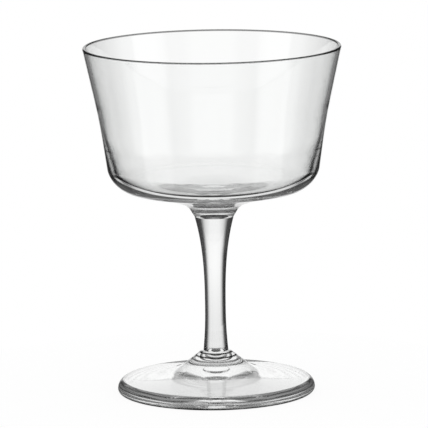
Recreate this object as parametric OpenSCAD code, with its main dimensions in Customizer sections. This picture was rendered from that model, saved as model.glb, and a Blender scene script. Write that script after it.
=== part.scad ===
// Coupe glass in three pieces of clear glass: a bowl, a stem and a foot.
// The pieces are fused end to end, so they meet at flat round welds.
// Lengths are in millimetres, and the origin is on the ground under the centre of the foot.

/* [Bowl] */
// Height of the bowl from its weld up to the rim
bowl_h = 61.9; // [50:0.1:90]
// Diameter across the rim, before its edge is rounded
rim_d = 93.2; // [86:0.1:120]
// Rounding of the rim's two edges
rim_round = 0.65; // [0.1:0.05:0.65]
// Diameter where the wall starts to flare
flare_d = 81.6; // [77:0.1:92]
// Height above the weld where the wall starts to flare
flare_h = 35.4; // [26:0.1:48]
// Radius of the bend where the wall starts to flare
flare_round = 190; // [20:1:300]
// Diameter at the lower corner, before it is rounded
corner_d = 74.6; // [60:0.1:80]
// Height of the lower corner above the weld
corner_h = 10.8; // [9:0.1:16]
// Outside radius of the lower corner
corner_round = 9.9; // [2:0.1:16]
// Diameter where the bottom turns down to the neck
shoulder_d = 42.6; // [26:0.1:56]
// Height above the weld where the bottom turns down to the neck
shoulder_h = 8.1; // [5:0.1:10]
// Radius of the turn from the bottom to the neck
shoulder_round = 80; // [10:1:120]
// Diameter of the neck's corner under the bowl, before it is rounded
neck_d = 19.4; // [16:0.1:24]
// Height of the neck's corner above the weld
neck_h = 4.2; // [2:0.1:5]
// Radius of the hollow curve under the bowl
neck_round = 6.3; // [1:0.1:10]

/* [Bowl glass] */
// Thickness of the wall at the rim
rim_wall = 1.3; // [0.8:0.1:2.5]
// Thickness of the wall where it starts to flare, and below that as far as its inside bend
flare_wall = 1.4; // [1:0.1:3]
// Drop from the start of the flare to the inside bend below which the wall thickens
bend_drop = 6.6; // [3:0.1:10]
// Radius of that inside bend
bend_round = 80; // [10:1:200]
// Thickness of the wall at the lower corner
corner_wall = 2.4; // [1.4:0.1:4]
// Thickness of the bottom at the lower corner
corner_floor = 2.35; // [2:0.05:5]
// Height of the inside bottom above the weld
floor_h = 9.2; // [8.4:0.1:12]
// Diameter where the inside bottom starts to rise
floor_d = 27.2; // [10:0.1:40]
// Radius of the dished inside bottom
floor_round = 110; // [20:1:160]
// Inside radius of the lower corner
inner_round = 7.8; // [2:0.1:14]

/* [Stem] */
// Length of the stem from weld to weld
stem_l = 49.1; // [30:0.1:90]
// Diameter of the weld between stem and bowl
top_weld_d = 14.2; // [10:0.1:16]
// Diameter of the stem at its waist
waist_d = 7.5; // [6:0.1:9]
// Height of the waist above the lower weld
waist_h = 15; // [8:0.1:22]
// Diameter of the weld between stem and foot
low_weld_d = 9; // [8:0.1:10.5]
// Power of the curve that opens the stem towards the bowl
top_power = 2.8; // [1.5:0.1:4]
// Power of the curve that opens the stem towards the foot
low_power = 2; // [1.2:0.1:4]

/* [Foot] */
// Height of the foot from the ground to the weld
foot_h = 15; // [12:0.1:25]
// Diameter of the foot
foot_d = 71.4; // [60:0.1:90]
// Diameter of the small collar round the weld
collar_d = 11.6; // [11:0.1:16]
// Drop from the weld to the collar's edge
collar_drop = 0.6; // [0.3:0.1:1.5]
// Rounding of the collar's edge
collar_round = 0.8; // [0.2:0.1:1.5]
// Diameter where the cone meets the disc
cone_d = 28.2; // [22:0.1:40]
// Height above the ground where the cone meets the disc
cone_h = 7.8; // [6:0.1:10]
// Radius of the hollow curve between cone and disc
cone_round = 14; // [1:0.1:20]
// Height of the foot's edge, before it is rounded
edge_h = 4.2; // [3:0.1:6]
// Rounding of the upper edge of the foot
edge_top_round = 3.3; // [0.5:0.1:4]
// Rounding of the lower edge of the foot
edge_low_round = 1.3; // [0.3:0.1:2]

/* [Underside] */
// Width of the flat ring that the foot stands on
ring_w = 1.8; // [1.5:0.1:6]
// Depth of the hollow inside that ring
hollow_depth = 3.6; // [1:0.1:4]
// Diameter of the level middle of that hollow
hollow_d = 16; // [14:0.1:30]
// Radius of the bend round the level middle
hollow_round = 30; // [5:1:60]
// Diameter of the small recess in the middle
recess_d = 7; // [4:0.1:12]
// Depth of the small recess
recess_depth = 0.8; // [0.3:0.1:2]
// Rounding of the small recess
recess_round = 0.3; // [0.1:0.05:0.4]

/* [Hidden] */
glass_tint = [0.88, 0.91, 0.90, 0.45];
// Steps round the axis
$fn = 180;
// Furthest that a straight step of an outline may lie from its true curve
chord = 0.012;
// Straight steps in the outline of the stem
stem_steps = 48;

top_weld_z = foot_h + stem_l;
ring_r = foot_d / 2 - edge_low_round - ring_w;
bend_h = flare_h - bend_drop;
bend_d = corner_d + (flare_d - corner_d) * (bend_h - corner_h) / (flare_h - corner_h);

// An outline is a list of corners, each one [distance from the axis, height, rounding].
function place(corner) = [corner[0], corner[1]];
function unit(step) = step / norm(step);
function way(from, to) = unit(place(to) - place(from));
function turn(line, i) = acos(min(1, way(line[i - 1], line[i]) * way(line[i], line[i + 1])));

// Length that the rounding of corner i asks of the straight on each side of it
function asked(line, i) =
    i == 0 || i == len(line) - 1 || len(line[i]) < 3 ? 0 : line[i][2] * tan(turn(line, i) / 2);

// Share of that length that fits beside the neighbouring corners i and j
function fits(line, i, j) =
    min(1, norm(place(line[i]) - place(line[j])) / max(asked(line, i) + asked(line, j), chord));

function given(line, i) = asked(line, i) * min(fits(line, i - 1, i), fits(line, i, i + 1));

// Points of the arc that rounds corner i
function arc(line, i) =
    let (u = way(line[i - 1], line[i]))
    let (v = way(line[i], line[i + 1]))
    let (inward = sign(cross(u, v)) * [-u[1], u[0]])
    let (radius = given(line, i) / tan(turn(line, i) / 2))
    let (centre = place(line[i]) - u * given(line, i) + inward * radius)
    let (steps = max(2, ceil(turn(line, i) / (2 * acos(1 - min(1, chord / radius))))))
    [for (k = [0 : steps])
        let (a = turn(line, i) * k / steps)
        centre + radius * (u * sin(a) - inward * cos(a))];

function outline(line) =
    [for (i = [0 : len(line) - 1]) each (asked(line, i) > 0 ? arc(line, i) : [place(line[i])])];

// Outside of the bowl from the weld up to the rim, with heights above the weld
bowl_outside = [
    [top_weld_d / 2, 0],
    [neck_d / 2, neck_h, neck_round],
    [shoulder_d / 2, shoulder_h, shoulder_round],
    [corner_d / 2, corner_h, corner_round],
    [flare_d / 2, flare_h, flare_round],
    [rim_d / 2, bowl_h, rim_round]
];

// Inside of the bowl from the rim down to the axis
bowl_inside = [
    [rim_d / 2 - rim_wall, bowl_h, rim_round],
    [flare_d / 2 - flare_wall, flare_h, flare_round],
    [bend_d / 2 - flare_wall, bend_h, bend_round],
    [corner_d / 2 - corner_wall, corner_h + corner_floor, inner_round],
    [floor_d / 2, floor_h, floor_round],
    [0, floor_h]
];

// Radius of the stem at height h above its lower weld
function stem_r(h) =
    let (end_d = h < waist_h ? low_weld_d : top_weld_d)
    let (power = h < waist_h ? low_power : top_power)
    let (reach = h < waist_h ? waist_h : stem_l - waist_h)
    waist_d / 2 + (end_d - waist_d) / 2 * pow(abs(h - waist_h) / reach, power);

// Underside of the foot from the axis out to its edge
foot_below = [
    [0, hollow_depth + recess_depth],
    [recess_d / 2, hollow_depth + recess_depth, recess_round],
    [recess_d / 2, hollow_depth, recess_round],
    [hollow_d / 2, hollow_depth, hollow_round],
    [ring_r, 0],
    [foot_d / 2, 0, edge_low_round]
];

// Upper side of the foot from its edge in to the weld
foot_above = [
    [foot_d / 2, edge_h, edge_top_round],
    [cone_d / 2, cone_h, cone_round],
    [collar_d / 2, foot_h - collar_drop, collar_round],
    [low_weld_d / 2, foot_h],
    [0, foot_h]
];

module bowl() {
    color(glass_tint)
        translate([0, 0, top_weld_z])
            rotate_extrude()
                polygon(outline([[0, 0], each bowl_outside, each bowl_inside]));
}

module stem() {
    side = [for (k = [0 : stem_steps]) let (h = stem_l * k / stem_steps) [stem_r(h), h]];
    color(glass_tint)
        translate([0, 0, foot_h])
            rotate_extrude()
                polygon([[0, 0], each side, [0, stem_l]]);
}

module foot() {
    color(glass_tint)
        rotate_extrude()
            polygon(outline([each foot_below, each foot_above]));
}

bowl();
stem();
foot();
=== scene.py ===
import math
import bpy
import bmesh
from mathutils import Matrix, Vector


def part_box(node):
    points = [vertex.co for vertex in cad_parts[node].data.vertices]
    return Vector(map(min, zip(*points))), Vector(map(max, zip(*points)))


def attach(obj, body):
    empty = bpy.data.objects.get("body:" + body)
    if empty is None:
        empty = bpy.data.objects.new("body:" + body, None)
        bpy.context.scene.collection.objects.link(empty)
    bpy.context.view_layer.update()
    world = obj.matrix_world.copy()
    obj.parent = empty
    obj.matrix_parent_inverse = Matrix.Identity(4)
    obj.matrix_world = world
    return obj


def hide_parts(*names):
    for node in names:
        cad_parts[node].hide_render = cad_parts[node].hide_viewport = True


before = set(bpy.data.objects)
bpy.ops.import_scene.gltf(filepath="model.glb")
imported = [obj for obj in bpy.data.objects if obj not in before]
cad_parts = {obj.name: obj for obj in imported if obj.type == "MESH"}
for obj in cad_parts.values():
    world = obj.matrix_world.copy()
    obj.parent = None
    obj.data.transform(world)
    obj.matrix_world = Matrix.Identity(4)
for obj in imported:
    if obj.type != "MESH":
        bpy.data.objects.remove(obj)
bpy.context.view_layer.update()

mm = 0.001
roundSteps = 240      # steps of every spin round the axis
arcStep = 2.5         # degrees between the points of a rounded corner
arcLeast = 3          # fewest steps in a rounded corner
arcFit = 0.9999       # keeps two roundings that meet from crossing
strideMm = 1.2        # longest straight step along an outline
mergeDist = 1e-7      # points this close are one, in metres
weldDist = 1e-6       # a face this close to a weld's height lies in it, in metres
levelFace = 0.999     # upright share of a level face's normal
sharpAngle = 35       # edges that turn more than this many degrees stay sharp


# outlines: each corner is (distance from the axis, height, rounding), in mm

def wireFrom(bm, corners):
    verts = [bm.verts.new((c[0] * mm, 0, c[1] * mm)) for c in corners]
    for a, b in zip(verts, verts[1:]):
        bm.edges.new((a, b))
    return verts


def roundCorners(bm, verts, corners):
    asked = [0.0] * len(verts)
    turns = [0.0] * len(verts)
    spots = [v.co.copy() for v in verts]
    for i in range(1, len(verts) - 1):
        turns[i] = (spots[i] - spots[i - 1]).angle(spots[i + 1] - spots[i])
        if len(corners[i]) > 2:
            asked[i] = corners[i][2] * mm * math.tan(turns[i] / 2)
    for i in range(1, len(verts) - 1):
        if asked[i] == 0:
            continue
        share = 1.0
        for j in (i - 1, i + 1):      # two roundings share the straight between them
            share = min(share, (spots[i] - spots[j]).length / (asked[i] + asked[j]))
        bmesh.ops.bevel(bm, geom=[verts[i]], offset=asked[i] * share * arcFit, offset_type='OFFSET',
                        segments=max(arcLeast, math.ceil(math.degrees(turns[i]) / arcStep)),
                        profile=0.5, affect='VERTICES', clamp_overlap=False, material=-1)


def shortenSteps(bm):
    for edge in bm.edges[:]:
        cuts = math.ceil(edge.calc_length() / (strideMm * mm)) - 1
        if cuts > 0:
            bmesh.ops.subdivide_edges(bm, edges=[edge], cuts=cuts)


def roundedWire(corners):
    bm = bmesh.new()
    verts = wireFrom(bm, corners)
    roundCorners(bm, verts, corners)
    shortenSteps(bm)
    return bm


def spinRound(bm):
    bmesh.ops.spin(bm, geom=bm.verts[:] + bm.edges[:], cent=(0, 0, 0), axis=(0, 0, 1), dvec=(0, 0, 0),
                   angle=2 * math.pi, steps=roundSteps, use_merge=True, use_duplicate=False)
    bmesh.ops.remove_doubles(bm, verts=bm.verts[:], dist=mergeDist)
    bmesh.ops.recalc_face_normals(bm, faces=bm.faces[:])


def glassPiece(name, bm, glass, weldHeights):
    spinRound(bm)
    for face in bm.faces:
        face.smooth = True
        level = abs(face.normal.z) > levelFace
        middle = face.calc_center_median().z
        if level and any(abs(middle - z * mm) < weldDist for z in weldHeights):
            face.material_index = 1       # a fused face, not a surface
    for edge in bm.edges:
        if edge.is_manifold and math.degrees(edge.calc_face_angle()) > sharpAngle:
            edge.smooth = False
    mesh = bpy.data.meshes.new(name)
    bm.to_mesh(mesh)
    bm.free()
    piece = bpy.data.objects.new(name, mesh)
    bpy.context.scene.collection.objects.link(piece)
    mesh.materials.append(glass)
    mesh.materials.append(fusedFace)
    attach(piece, "root")
    print(name, len(mesh.polygons), "faces")
    return piece


# small helpers for shader nodes

def newMaterial(name):
    material = bpy.data.materials.new(name)
    material.use_nodes = True
    nodes = material.node_tree.nodes
    nodes.clear()
    out = nodes.new('ShaderNodeOutputMaterial')
    return material, nodes, material.node_tree.links, out


def mathNode(nodes, links, kind, a, b=None):
    node = nodes.new('ShaderNodeMath')
    node.operation = kind
    for socket, value in zip(node.inputs, (a, b)):
        if value is None:
            continue
        if isinstance(value, (int, float)):
            socket.default_value = value
        else:
            links.new(value, socket)
    return node.outputs['Value']


def rampNode(nodes, links, value, stops, colour):
    ramp = nodes.new('ShaderNodeValToRGB')
    while len(ramp.color_ramp.elements) < len(stops):
        ramp.color_ramp.elements.new(0.5)
    for element, (at, shade) in zip(ramp.color_ramp.elements, stops):
        element.position = at
        element.color = tuple(c * shade for c in colour[:3]) + (1,)
    links.new(value, ramp.inputs['Fac'])
    return ramp.outputs['Color']


def rangeNode(nodes, links, value, fromLow, fromHigh, toLow, toHigh, soft=True):
    node = nodes.new('ShaderNodeMapRange')
    node.interpolation_type = 'SMOOTHSTEP' if soft else 'LINEAR'
    links.new(value, node.inputs['Value'])
    node.inputs['From Min'].default_value = fromLow
    node.inputs['From Max'].default_value = fromHigh
    for name, level in (('To Min', toLow), ('To Max', toHigh)):
        if isinstance(level, (int, float)):
            node.inputs[name].default_value = level
        else:
            links.new(level, node.inputs[name])
    return node.outputs['Result']


# as rangeNode, from one angle in degrees to another
def angleNode(nodes, links, value, fromDeg, toDeg, toLow, toHigh):
    return rangeNode(nodes, links, value, math.radians(fromDeg), math.radians(toDeg), toLow, toHigh)


# one level where a yes-or-no value is 0, another where it is 1
def pickNode(nodes, links, value, no, yes):
    return rangeNode(nodes, links, value, 0.0, 1.0, no, yes, False)


def splitNode(nodes, links, space):
    coord = nodes.new('ShaderNodeTexCoord')
    split = nodes.new('ShaderNodeSeparateXYZ')
    links.new(coord.outputs[space], split.inputs['Vector'])
    return split.outputs


def heightOn(nodes, links):
    return splitNode(nodes, links, 'Object')['Z']


# the angle round the axis, from straight behind
def aroundNode(nodes, links, space):
    split = splitNode(nodes, links, space)
    return mathNode(nodes, links, 'ARCTAN2', split['X'], split['Y'])


def flatPlace(nodes, links):
    coord = nodes.new('ShaderNodeTexCoord')
    flat = nodes.new('ShaderNodeVectorMath')
    flat.operation = 'MULTIPLY'
    flat.inputs[1].default_value = (1, 1, 0)
    links.new(coord.outputs['Object'], flat.inputs[0])
    return flat.outputs['Vector']


# the distance from the axis
def awayOn(nodes, links):
    away = nodes.new('ShaderNodeVectorMath')
    away.operation = 'LENGTH'
    links.new(flatPlace(nodes, links), away.inputs['Vector'])
    return away.outputs['Value']


def distanceTo(nodes, links, value, line):
    return mathNode(nodes, links, 'ABSOLUTE', mathNode(nodes, links, 'SUBTRACT', value, line))


# inputs 4 and 5 and output 1 of a mix node are its vectors
def blended(nodes, links, share, first, second):
    mix = nodes.new('ShaderNodeMix')
    mix.data_type = 'VECTOR'
    links.new(share, mix.inputs['Factor'])
    links.new(first, mix.inputs[4])
    links.new(second, mix.inputs[5])
    return mix.outputs[1]


def fromOutside(nodes, links):
    side = nodes.new('ShaderNodeNewGeometry')
    return mathNode(nodes, links, 'SUBTRACT', 1.0, side.outputs['Backfacing'])


# how often the light path has been reflected so far
def reflections(nodes):
    return nodes.new('ShaderNodeLightPath').outputs['Glossy Depth']


# darkens a colour by a level; it carries the painted shade on the glass
def shadeColour(nodes, links, colour, level):
    mix = nodes.new('ShaderNodeVectorMath')
    mix.operation = 'SCALE'
    links.new(colour, mix.inputs[0])
    links.new(level, mix.inputs['Scale'])
    return mix.outputs['Vector']


# how squarely a surface, or a given normal, faces the light path: 1 is straight on
# a blend of 0.5 leaves that value as it is
def facingNode(nodes, links, normal=None):
    weight = nodes.new('ShaderNodeLayerWeight')
    weight.inputs['Blend'].default_value = 0.5
    if normal is not None:
        links.new(normal, weight.inputs['Normal'])
    return mathNode(nodes, links, 'SUBTRACT', 1.0, weight.outputs['Facing'])


def glassBase(name, look):
    material, nodes, links, out = newMaterial(name)
    bsdf = nodes.new('ShaderNodeBsdfPrincipled')
    bsdf.inputs['Base Color'].default_value = look["colour"]
    bsdf.inputs['Roughness'].default_value = look["roughness"]
    bsdf.inputs['IOR'].default_value = look["ior"]
    bsdf.inputs['Transmission Weight'].default_value = 1.0
    links.new(bsdf.outputs['BSDF'], out.inputs['Surface'])
    return material, nodes, links, bsdf, facingNode(nodes, links)


# bowl glass: painted shade darkens the wall where it is seen edge on, and its thick lower part has painted dark
# and light lines stops and lines are (how squarely it faces, share of light let through as painted shade),
# heights are in metres
bowlLook = {"colour": (0.985, 0.99, 0.987, 1), "ior": 1.52, "roughness": 0.0,
            "stops": ((0.0, 0.25), (0.12, 0.45), (0.2, 0.73), (0.32, 0.81), (0.43, 0.86), (0.52, 0.91),
                      (0.62, 0.955), (0.72, 0.98), (0.81, 1.0)),
            # a painted dark line along the top of the rim
            "rimFrom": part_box("bowl")[1].z - 0.0007, "rimTo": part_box("bowl")[1].z - 0.0004, "rimPaintedShade": 0.08,
            "lines": ((0.0, 0.02), (0.1, 0.002), (0.155, 0.002), (0.19, 0.2), (0.22, 1.0), (0.245, 1.0),
                      (0.28, 0.15), (0.305, 0.05), (0.33, 0.15), (0.38, 0.75), (0.5, 0.85), (0.62, 0.93),
                      (0.72, 0.97), (0.81, 1.0)),
            "lineMiddle": 0.0896, "lineSlant": 12, "linesTop": (0.093, 0.104), "linesLow": (0.0745, 0.0775),
            "lean": 0.1423, "outside": (0.0255, 0.0263),      # the wall's lean tells outside from inside
            # a painted dark line round the neck, seen from outside
            "neckLine": 0.0692, "neckWide": 0.0006, "neckPaintedShade": 0.06}


def makeBowlGlass(look):
    material, nodes, links, bsdf, toward = glassBase("bowlGlass", look)
    high = heightOn(nodes, links)
    # painted shade: the wall is darker where it is seen edge on
    wall = rampNode(nodes, links, toward, look["stops"], look["colour"])
    # painted dark and light lines in the thick lower part, by how squarely it faces, slanted with height
    above = mathNode(nodes, links, 'SUBTRACT', high, look["lineMiddle"])
    slant = mathNode(nodes, links, 'MULTIPLY', above, look["lineSlant"])
    slanted = mathNode(nodes, links, 'ADD', toward, slant)
    thick = rampNode(nodes, links, slanted, look["lines"], look["colour"])
    lean = mathNode(nodes, links, 'MULTIPLY', high, look["lean"])
    upright = mathNode(nodes, links, 'SUBTRACT', awayOn(nodes, links), lean)
    lined = fromOutside(nodes, links)
    for mask in (rangeNode(nodes, links, high, *look["linesTop"], 1.0, 0.0),
                 rangeNode(nodes, links, high, *look["linesLow"], 0.0, 1.0),
                 rangeNode(nodes, links, upright, *look["outside"], 0.0, 1.0)):
        lined = mathNode(nodes, links, 'MULTIPLY', lined, mask)
    # painted shade: a dark line along the rim
    rim = rangeNode(nodes, links, high, look["rimFrom"], look["rimTo"], 1.0, look["rimPaintedShade"])
    # painted shade: a dark line round the neck
    off = distanceTo(nodes, links, high, look["neckLine"])
    neck = rangeNode(nodes, links, off, look["neckWide"] / 2, look["neckWide"], look["neckPaintedShade"], 1.0)
    neck = pickNode(nodes, links, fromOutside(nodes, links), 1.0, neck)
    paintedShade = mathNode(nodes, links, 'MULTIPLY', rim, neck)
    glass = shadeColour(nodes, links, blended(nodes, links, lined, wall, thick), paintedShade)
    links.new(glass, bsdf.inputs['Base Color'])
    return material


# foot glass: painted shade where it is seen edge on, uneven painted dark bands on the edge, a painted dark line
# round the recess and fine painted dark lines round the cone bands are (share of bandsTop in height, share of
# light let through as painted shade)
footLook = {"colour": (0.985, 0.99, 0.987, 1), "ior": 1.52, "roughness": 0.0,
            "stops": ((0.0, 0.85), (0.2, 0.97), (0.3, 1.0)),
            "edgeFrom": 0.0334, "edgeTo": 0.0340, "bandsTop": 0.005,
            "wander": 0.25, "wanderSize": 70, "wanderDetail": 1.0, "wanderMiddle": 0.5,
            "bands": ((0.0, 0.0), (0.07, 0.0), (0.12, 0.01), (0.18, 0.25), (0.25, 0.85), (0.31, 0.5),
                      (0.38, 0.15), (0.44, 0.8), (0.5, 0.8), (0.55, 0.12), (0.6, 0.08), (0.66, 0.9),
                      (0.72, 0.9), (0.78, 0.15), (0.82, 0.2), (0.87, 1.0)),
            "recessEdge": 0.0035, "recessWide": 0.0004, "recessPaintedShade": 0.1, "recessTop": (0.005, 0.0055),
            "linesLow": 0.0109, "linesFull": 0.0131, "linePitch": 0.00117, "lineWide": 0.0006,
            "linePaintedShade": 0.01, "lineFaint": 0.3}


# uneven painted dark bands on the edge of the foot, seen from outside
def edgeBands(nodes, links, look, high, away):
    uneven = nodes.new('ShaderNodeTexNoise')
    uneven.inputs['Scale'].default_value = look["wanderSize"]
    uneven.inputs['Detail'].default_value = look["wanderDetail"]
    links.new(flatPlace(nodes, links), uneven.inputs['Vector'])
    drift = mathNode(nodes, links, 'SUBTRACT', uneven.outputs['Fac'], look["wanderMiddle"])
    drift = mathNode(nodes, links, 'MULTIPLY', drift, look["wander"])
    share = mathNode(nodes, links, 'DIVIDE', high, look["bandsTop"])
    level = mathNode(nodes, links, 'ADD', share, drift)
    bands = rampNode(nodes, links, level, look["bands"], (1, 1, 1))
    seen = pickNode(nodes, links, fromOutside(nodes, links), 1.0, bands)
    return rangeNode(nodes, links, away, look["edgeFrom"], look["edgeTo"], 1.0, seen)


# a painted dark line round the recess
def recessLine(nodes, links, look, high, away):
    off = distanceTo(nodes, links, away, look["recessEdge"])
    ring = rangeNode(nodes, links, off, look["recessWide"] / 2, look["recessWide"], look["recessPaintedShade"], 1.0)
    return rangeNode(nodes, links, high, *look["recessTop"], ring, 1.0)


# fine painted dark lines round the cone, seen from outside, fainter lower down
def coneLines(nodes, links, look, high):
    low, pitch, wide = look["linesLow"], look["linePitch"], look["lineWide"]
    step = mathNode(nodes, links, 'PINGPONG', mathNode(nodes, links, 'SUBTRACT', high, low), pitch / 2)
    paintedShade = rangeNode(nodes, links, high, low, look["linesFull"], look["lineFaint"], look["linePaintedShade"])
    line = rangeNode(nodes, links, step, wide / 4, wide / 2, paintedShade, 1.0)
    line = rangeNode(nodes, links, high, low - pitch / 2, low - pitch / 4, 1.0, line)
    return pickNode(nodes, links, fromOutside(nodes, links), 1.0, line)


def makeFootGlass(look):
    material, nodes, links, bsdf, toward = glassBase("footGlass", look)
    high = heightOn(nodes, links)
    away = awayOn(nodes, links)
    # painted shade where the foot is seen edge on
    disc = rampNode(nodes, links, toward, look["stops"], look["colour"])
    edge = edgeBands(nodes, links, look, high, away)
    lines = mathNode(nodes, links, 'MULTIPLY', recessLine(nodes, links, look, high, away),
                     coneLines(nodes, links, look, high))
    glass = shadeColour(nodes, links, shadeColour(nodes, links, disc, edge), lines)
    links.new(glass, bsdf.inputs['Base Color'])
    return material


# stem glass: painted shade darkens the rod towards its sides, whatever the height that it is seen from
stemLook = {"colour": (0.985, 0.99, 0.987, 1), "ior": 1.52, "roughness": 0.0, "levelLeast": 0.05,
            "stops": ((0.0, 0.01), (0.64, 0.01), (0.72, 0.15), (0.81, 0.6), (0.9, 0.92), (1.0, 1.0)),
            # seen in the disc, the painted shade on the sides is lighter
            "mirror": ((0.0, 0.95), (1.0, 1.0))}              # seen in the disc, the sides are paler


def makeStemGlass(look):
    material, nodes, links, bsdf, toward = glassBase("stemGlass", look)
    axis = nodes.new('ShaderNodeCombineXYZ')
    axis.inputs['Z'].default_value = 1.0
    steep = facingNode(nodes, links, axis.outputs['Vector'])
    level = mathNode(nodes, links, 'SUBTRACT', 1.0, mathNode(nodes, links, 'MULTIPLY', steep, steep))
    level = mathNode(nodes, links, 'MAXIMUM', mathNode(nodes, links, 'SQRT', level), look["levelLeast"])
    turned = mathNode(nodes, links, 'DIVIDE', toward, level)
    # painted shade, darker towards the sides of the rod
    sides = rampNode(nodes, links, turned, look["stops"], look["colour"])
    paler = rampNode(nodes, links, turned, look["mirror"], look["colour"])
    mirrored = mathNode(nodes, links, 'MINIMUM', reflections(nodes), 1.0)
    links.new(blended(nodes, links, mirrored, sides, paler), bsdf.inputs['Base Color'])
    return material


def makeFusedFace():
    material, nodes, links, out = newMaterial("fusedFace")
    clear = nodes.new('ShaderNodeBsdfTransparent')
    links.new(clear.outputs['BSDF'], out.inputs['Surface'])
    return material


bowlGlass = makeBowlGlass(bowlLook)
stemGlass = makeStemGlass(stemLook)
footGlass = makeFootGlass(footLook)
fusedFace = makeFusedFace()
print("glass materials ready")

# bowl: outside from the weld up, over the rim, and down the inside, in mm
bowlBlow = {"weld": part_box("bowl")[0].z / mm, "height": 61.9, "weldWide": 14.2,
            "rimWide": 93.14, "rimWall": 1.27, "rimRound": 0.63,
            "flareWide": 81.6, "flareUp": 35.4, "flareRound": 190, "flareWall": 1.4,
            "bendDrop": 6.6, "bendRound": 80,
            "cornerWide": 74.6, "cornerUp": 10.8, "cornerRound": 9.9,
            "cornerWall": 2.4, "cornerFloor": 2.35, "innerRound": 7.8,
            "shoulderWide": 42.6, "shoulderUp": 8.1, "shoulderRound": 80,
            "neckWide": 19.4, "neckUp": 4.2, "neckRound": 6.3,
            "floorUp": 9.2, "floorWide": 27.2, "floorRound": 110}


def makeBowl(b):
    weld = b["weld"]
    top = weld + b["height"]
    bendUp = b["flareUp"] - b["bendDrop"]
    bendShare = (bendUp - b["cornerUp"]) / (b["flareUp"] - b["cornerUp"])
    bendWide = b["cornerWide"] + (b["flareWide"] - b["cornerWide"]) * bendShare
    outside = [(b["weldWide"] / 2, weld),
               (b["neckWide"] / 2, weld + b["neckUp"], b["neckRound"]),
               (b["shoulderWide"] / 2, weld + b["shoulderUp"], b["shoulderRound"]),
               (b["cornerWide"] / 2, weld + b["cornerUp"], b["cornerRound"]),
               (b["flareWide"] / 2, weld + b["flareUp"], b["flareRound"]),
               (b["rimWide"] / 2, top, b["rimRound"])]
    cornerIn = weld + b["cornerUp"] + b["cornerFloor"]
    inside = [(b["rimWide"] / 2 - b["rimWall"], top, b["rimRound"]),
              (b["flareWide"] / 2 - b["flareWall"], weld + b["flareUp"], b["flareRound"]),
              (bendWide / 2 - b["flareWall"], weld + bendUp, b["bendRound"]),
              (b["cornerWide"] / 2 - b["cornerWall"], cornerIn, b["innerRound"]),
              (b["floorWide"] / 2, weld + b["floorUp"], b["floorRound"])]
    bm = roundedWire([(0, weld)] + outside + inside + [(0, weld + b["floorUp"])])
    piece = glassPiece("glassBowl", bm, bowlGlass, [weld])
    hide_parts("bowl")


# stem: a solid rod with a waist, opened at both ends by a power curve, in mm
stemDraw = {"low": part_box("stem")[0].z / mm, "high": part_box("stem")[1].z / mm, "topWide": 14.2,
            "waistWide": 7.5, "lowWide": 9.0, "waistUp": 15.0, "topPower": 2.8, "lowPower": 2.0, "cuts": 71}


def makeStem(s):
    bm = bmesh.new()
    length = s["high"] - s["low"]
    rod = s["waistWide"] / 2
    wireFrom(bm, [(0, s["low"]), (rod, s["low"]), (rod, s["high"]), (0, s["high"])])
    bm.edges.ensure_lookup_table()
    bmesh.ops.subdivide_edges(bm, edges=[bm.edges[1]], cuts=s["cuts"])
    for v in bm.verts:
        if v.co.x < mergeDist:            # on the axis
            continue
        up = v.co.z / mm - s["low"] - s["waistUp"]
        if up < 0:
            spread = (s["lowWide"] / 2 - rod) * (-up / s["waistUp"]) ** s["lowPower"]
        else:
            spread = (s["topWide"] / 2 - rod) * (up / (length - s["waistUp"])) ** s["topPower"]
        v.co.x += spread * mm
    piece = glassPiece("glassStem", bm, stemGlass, [s["low"], s["high"]])
    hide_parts("stem")


# foot: a cone on a disc, hollow below, in mm
footPress = {"high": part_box("foot")[1].z / mm, "wide": 71.4, "weldWide": 9.0,
             "collarWide": 11.6, "collarDrop": 0.6, "collarRound": 0.8,
             "coneWide": 28.2, "coneUp": 7.8, "coneRound": 14,
             "edgeUp": 4.2, "edgeTopRound": 3.3, "edgeLowRound": 1.3, "ringWide": 1.8,
             "hollowDeep": 3.6, "hollowWide": 16, "hollowRound": 30,
             "recessWide": 7.0, "recessDeep": 0.8, "recessRound": 0.3}


def makeFoot(f):
    ring = f["wide"] / 2 - f["edgeLowRound"] - f["ringWide"]
    ceiling = f["hollowDeep"] + f["recessDeep"]
    below = [(0, ceiling), (f["recessWide"] / 2, ceiling, f["recessRound"]),
             (f["recessWide"] / 2, f["hollowDeep"], f["recessRound"]),
             (f["hollowWide"] / 2, f["hollowDeep"], f["hollowRound"]),
             (ring, 0), (f["wide"] / 2, 0, f["edgeLowRound"])]
    above = [(f["wide"] / 2, f["edgeUp"], f["edgeTopRound"]),
             (f["coneWide"] / 2, f["coneUp"], f["coneRound"]),
             (f["collarWide"] / 2, f["high"] - f["collarDrop"], f["collarRound"]),
             (f["weldWide"] / 2, f["high"]), (0, f["high"])]
    bm = roundedWire(below + above)
    piece = glassPiece("glassFoot", bm, footGlass, [f["high"]])
    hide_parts("foot")


makeBowl(bowlBlow)
makeStem(stemDraw)
makeFoot(footPress)

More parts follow.
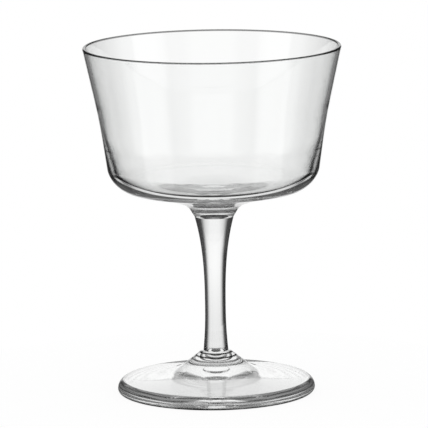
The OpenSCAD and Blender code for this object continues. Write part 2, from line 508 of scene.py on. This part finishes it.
# studio: a white tent round the glass, a floor, and a tray that catches light turned inside the bowl
# lengths are in metres, angles in degrees round the axis from straight behind, levels are strengths of light
studio = {"white": 1.0, "ceiling": 0.06, "rounds": 96, "fold": 45,
          "tentWide": 0.19, "tentHigh": 0.2, "lowTop": 0.045, "highFrom": 0.055,
          "flagFrom": 20, "flagTo": 36, "flagDark": 0.25, "flagHigh": 0.3,      # dark flags at the corners
          "softFrom": 18, "softDark": 0.8, "duskHigh": 0.04, "dimFrom": 14, "dimTo": 42, "dim": 0.45,
          "sideFrom": 36, "sideTo": 46, "backTop": (0.105, 0.12),
          "lostFrom": 4, "lostTo": 7,      # reflections after which light counts as lost
          "lostLow": 0.3, "lostSide": 0.45, "lostBack": 0.15, "lostAbove": 0.95,
          "floorWide": 0.22, "floorColour": (0.9, 0.9, 0.9, 1), "floorMirror": 0.15, "floorSeen": 1.011,
          "shadowShare": 0.1, "shadeTo": 0.033, "shadeFrom": 0.042, "shade": 0.7, "table": 0.85,
          "underFrom": 0.036, "underTo": 0.04, "underDark": 0.05, "underLight": 0.9,
          "ringPitch": 0.0021, "ringFrom": -0.4, "ringTo": 0.4,
          "trayHigh": 0.05, "trayHole": 0.016, "trayLost": 0.25, "trayMiddle": 0.045, "trayReach": 0.11,
          "trayRings": ((0, 0.9), (0.145, 0.9), (0.175, 0.06), (0.46, 0.05), (0.5, 0.95), (0.55, 0.95),
                        (0.573, 0.02), (0.71, 0.02), (0.8, 0.8)),
          "boxLevel": 1.2, "boxFrom": (97, 102), "boxTo": (130, 138), "boxTop": (0.5, 0.7),
          "roomLevel": 0.03, "frontFrom": 128, "frontTo": 138, "frontLevel": 0.6,
          "sheetTo": 10, "sheetFrom": 15, "sheetTop": (0.6, 0.75)}


# what mirrors in the glass: two soft boxes at the sides, a card in front and a sheet behind
def mirrorLevel(nodes, links, s):
    side = mathNode(nodes, links, 'ABSOLUTE', aroundNode(nodes, links, 'Generated'))
    rise = splitNode(nodes, links, 'Generated')['Z']
    box = mathNode(nodes, links, 'MULTIPLY', angleNode(nodes, links, side, *s["boxFrom"], 0.0, 1.0),
                   angleNode(nodes, links, side, *s["boxTo"], 1.0, 0.0))
    boxTop = rangeNode(nodes, links, rise, *s["boxTop"], 1.0, 0.0)
    box = mathNode(nodes, links, 'MULTIPLY', box, boxTop)
    front = angleNode(nodes, links, side, s["frontFrom"], s["frontTo"], s["roomLevel"], s["frontLevel"])
    mirror = mathNode(nodes, links, 'ADD', mathNode(nodes, links, 'MULTIPLY', box, s["boxLevel"]), front)
    sheet = angleNode(nodes, links, side, s["sheetTo"], s["sheetFrom"], s["white"], 0.0)
    sheetTop = rangeNode(nodes, links, rise, *s["sheetTop"], 1.0, 0.0)
    return mathNode(nodes, links, 'MAXIMUM', mirror, mathNode(nodes, links, 'MULTIPLY', sheet, sheetTop))


def makeWorld(s):
    world = bpy.data.worlds.new("studioWorld")
    bpy.context.scene.world = world
    world.use_nodes = True
    nodes, links = world.node_tree.nodes, world.node_tree.links
    nodes.clear()
    out = nodes.new('ShaderNodeOutputWorld')
    back = nodes.new('ShaderNodeBackground')
    back.inputs['Color'].default_value = (1, 1, 1, 1)
    path = nodes.new('ShaderNodeLightPath')
    level = pickNode(nodes, links, path.outputs['Is Glossy Ray'], 1.0, mirrorLevel(nodes, links, s))
    level = pickNode(nodes, links, path.outputs['Is Transmission Ray'], level, s["ceiling"])
    level = mathNode(nodes, links, 'MAXIMUM', level, path.outputs['Is Camera Ray'])
    links.new(level, back.inputs['Strength'])
    links.new(back.outputs['Background'], out.inputs['Surface'])
    print("studioWorld ready")


def studioPiece(name, bm, material):
    mesh = bpy.data.meshes.new(name)
    bm.to_mesh(mesh)
    bm.free()
    mesh.materials.append(material)
    piece = bpy.data.objects.new(name, mesh)
    bpy.context.scene.collection.objects.link(piece)
    print(name, "ready")
    return piece


def showThroughGlassOnly(piece):
    piece.visible_camera = False
    piece.visible_diffuse = False
    piece.visible_glossy = False
    piece.visible_shadow = False


# a circle for a studio piece, with a second one made by lifting or shrinking the first
def studioRings(s, lift, shrink):
    bm = bmesh.new()
    bmesh.ops.create_circle(bm, cap_ends=False, segments=s["rounds"], radius=s["tentWide"] / 2)
    grown = bmesh.ops.extrude_edge_only(bm, edges=bm.edges[:])
    verts = [v for v in grown["geom"] if isinstance(v, bmesh.types.BMVert)]
    bmesh.ops.scale(bm, vec=(shrink, shrink, 1), verts=verts)
    bmesh.ops.translate(bm, vec=(0, 0, lift), verts=verts)
    return bm


# one level for light straight through, one for light turned inside the glass, one for light lost in it
def levelByBounces(nodes, links, s, straight, turned, lost):
    depth = reflections(nodes)
    level = rangeNode(nodes, links, depth, 0, 1, straight, turned, False)
    return rangeNode(nodes, links, depth, s["lostFrom"], s["lostTo"], level, lost, False)


def tentLevel(nodes, links, s):
    around = aroundNode(nodes, links, 'Object')
    high = heightOn(nodes, links)
    folded = mathNode(nodes, links, 'PINGPONG', around, math.radians(s["fold"]))
    side = mathNode(nodes, links, 'ABSOLUTE', around)

    def byHeight(low, upper):
        return rangeNode(nodes, links, high, s["lowTop"], s["highFrom"], low, upper)

    dark = byHeight(s["flagDark"], s["flagHigh"])
    turned = angleNode(nodes, links, folded, s["flagFrom"], s["flagTo"], s["white"], dark)
    aside = byHeight(turned, angleNode(nodes, links, side, s["sideFrom"], s["sideTo"], turned, s["lostSide"]))
    turned = rangeNode(nodes, links, reflections(nodes), 1, 2, turned, aside, False)     # from the second on
    dusk = rangeNode(nodes, links, high, 0.0, s["duskHigh"], s["table"], s["white"])
    dim = angleNode(nodes, links, around, -s["dimTo"], -s["dimFrom"], s["dim"], 1.0)
    soft = angleNode(nodes, links, folded, s["softFrom"], s["fold"], s["white"], s["white"] * s["softDark"])
    soft = byHeight(mathNode(nodes, links, 'MULTIPLY', dusk, dim), soft)
    lost = rangeNode(nodes, links, high, *s["backTop"], s["lostBack"], s["lostAbove"])
    lost = angleNode(nodes, links, side, s["sideFrom"], s["sideTo"], lost, s["lostSide"])
    return levelByBounces(nodes, links, s, soft, turned, byHeight(s["lostLow"], lost))


def floorLevel(nodes, links, s):
    away = awayOn(nodes, links)
    around = aroundNode(nodes, links, 'Object')
    folded = mathNode(nodes, links, 'PINGPONG', around, math.radians(s["fold"]))
    flag = angleNode(nodes, links, folded, s["flagFrom"], s["flagTo"], s["white"], s["flagDark"])
    wave = mathNode(nodes, links, 'MULTIPLY', away, 2 * math.pi / s["ringPitch"])
    wave = mathNode(nodes, links, 'SINE', wave)
    under = rangeNode(nodes, links, wave, s["ringFrom"], s["ringTo"], s["underDark"], s["underLight"])
    turned = rangeNode(nodes, links, away, s["underFrom"], s["underTo"], under, flag)
    soft = rangeNode(nodes, links, away, s["shadeTo"], s["shadeFrom"], s["shade"], s["table"])
    return levelByBounces(nodes, links, s, soft, turned, s["lostLow"])


def trayLevel(nodes, links, s):
    coord = nodes.new('ShaderNodeTexCoord')
    away = nodes.new('ShaderNodeVectorMath')
    away.operation = 'DISTANCE'
    links.new(coord.outputs['Object'], away.inputs[0])
    away.inputs[1].default_value = (0, s["trayMiddle"], 0)
    share = mathNode(nodes, links, 'DIVIDE', away.outputs['Value'], s["trayReach"])
    rings = rampNode(nodes, links, share, s["trayRings"], (1, 1, 1))
    depth = reflections(nodes)
    return rangeNode(nodes, links, depth, s["lostFrom"], s["lostTo"], rings, s["trayLost"], False)


def makeTent(s):
    material, nodes, links, out = newMaterial("tentCloth")
    glow = nodes.new('ShaderNodeEmission')
    links.new(tentLevel(nodes, links, s), glow.inputs['Strength'])
    links.new(glow.outputs['Emission'], out.inputs['Surface'])
    tent = studioPiece("lightTent", studioRings(s, s["tentHigh"], 1), material)
    showThroughGlassOnly(tent)


# the tray is there only for light that comes down on it and has been turned inside the bowl
def makeTray(s):
    bm = studioRings(s, 0, s["trayHole"] / s["tentWide"])
    bmesh.ops.recalc_face_normals(bm, faces=bm.faces[:])
    if bm.faces[:][0].normal.z < 0:
        bmesh.ops.reverse_faces(bm, faces=bm.faces[:])
    material, nodes, links, out = newMaterial("trayCloth")
    glow = nodes.new('ShaderNodeEmission')
    clear = nodes.new('ShaderNodeBsdfTransparent')
    mix = nodes.new('ShaderNodeMixShader')
    turned = mathNode(nodes, links, 'GREATER_THAN', reflections(nodes), 0.5)      # at least once
    caught = mathNode(nodes, links, 'MULTIPLY', turned, fromOutside(nodes, links))
    links.new(trayLevel(nodes, links, s), glow.inputs['Strength'])
    links.new(caught, mix.inputs['Fac'])
    links.new(clear.outputs['BSDF'], mix.inputs[1])
    links.new(glow.outputs['Emission'], mix.inputs[2])
    links.new(mix.outputs['Shader'], out.inputs['Surface'])
    tray = studioPiece("lightTray", bm, material)
    tray.location = (0, 0, s["trayHigh"])
    showThroughGlassOnly(tray)


# the floor glows for the camera and through glass, and a small share of it takes the shadow
def makeFloor(s):
    bm = bmesh.new()
    bmesh.ops.create_circle(bm, cap_ends=True, segments=s["rounds"], radius=s["floorWide"] / 2)
    material, nodes, links, out = newMaterial("paleFloor")
    diffuse = nodes.new('ShaderNodeBsdfDiffuse')
    diffuse.inputs['Color'].default_value = s["floorColour"]
    glow = nodes.new('ShaderNodeEmission')
    path = nodes.new('ShaderNodeLightPath')
    mix = nodes.new('ShaderNodeMixShader')
    deep = floorLevel(nodes, links, s)
    level = pickNode(nodes, links, path.outputs['Is Transmission Ray'], s["floorMirror"], deep)
    level = pickNode(nodes, links, path.outputs['Is Camera Ray'], level, s["floorSeen"])
    links.new(level, glow.inputs['Strength'])
    straight = mathNode(nodes, links, 'SUBTRACT', 1.0, path.outputs['Is Diffuse Ray'])
    seen = mathNode(nodes, links, 'MULTIPLY', path.outputs['Is Camera Ray'], s["shadowShare"])
    links.new(mathNode(nodes, links, 'SUBTRACT', straight, seen), mix.inputs['Fac'])
    links.new(diffuse.outputs['BSDF'], mix.inputs[1])
    links.new(glow.outputs['Emission'], mix.inputs[2])
    links.new(mix.outputs['Shader'], out.inputs['Surface'])
    floor = studioPiece("floor", bm, material)


makeWorld(studio)
makeTent(studio)
makeTray(studio)
makeFloor(studio)

# camera, from the outline of the glass in the 428 px photograph; lengths are in metres
shot = {"away": 1.5, "height": 0.3237, "aimHeight": 0.0648, "focalPx": 4222.7, "framePx": 428,
        "axisPx": 214.1, "rollDeg": 0.8, "sensorMm": 36.0}


def makeCamera(c):
    data = bpy.data.cameras.new("photoCamera")
    camera = bpy.data.objects.new("photoCamera", data)
    bpy.context.scene.collection.objects.link(camera)
    data.sensor_width = c["sensorMm"]
    data.lens = c["focalPx"] / c["framePx"] * c["sensorMm"]
    data.shift_x = (c["framePx"] / 2 - c["axisPx"]) / c["framePx"]
    camera.location = (0, -c["away"], c["height"])
    aim = Vector((0, 0, c["aimHeight"])) - camera.location
    turn = aim.to_track_quat('-Z', 'Y').to_matrix().to_4x4()
    roll = Matrix.Rotation(math.radians(-c["rollDeg"]), 4, 'Z')
    camera.matrix_world = Matrix.Translation(camera.location) @ turn @ roll
    bpy.context.scene.camera = camera
    print("photoCamera ready")


makeCamera(shot)
scene = bpy.context.scene
scene.view_settings.view_transform = 'Standard'
scene.cycles.max_bounces = 100             # light stays inside the thick glass for many bounces
scene.cycles.glossy_bounces = 96
scene.cycles.transmission_bounces = 32
scene.cycles.transparent_max_bounces = 32
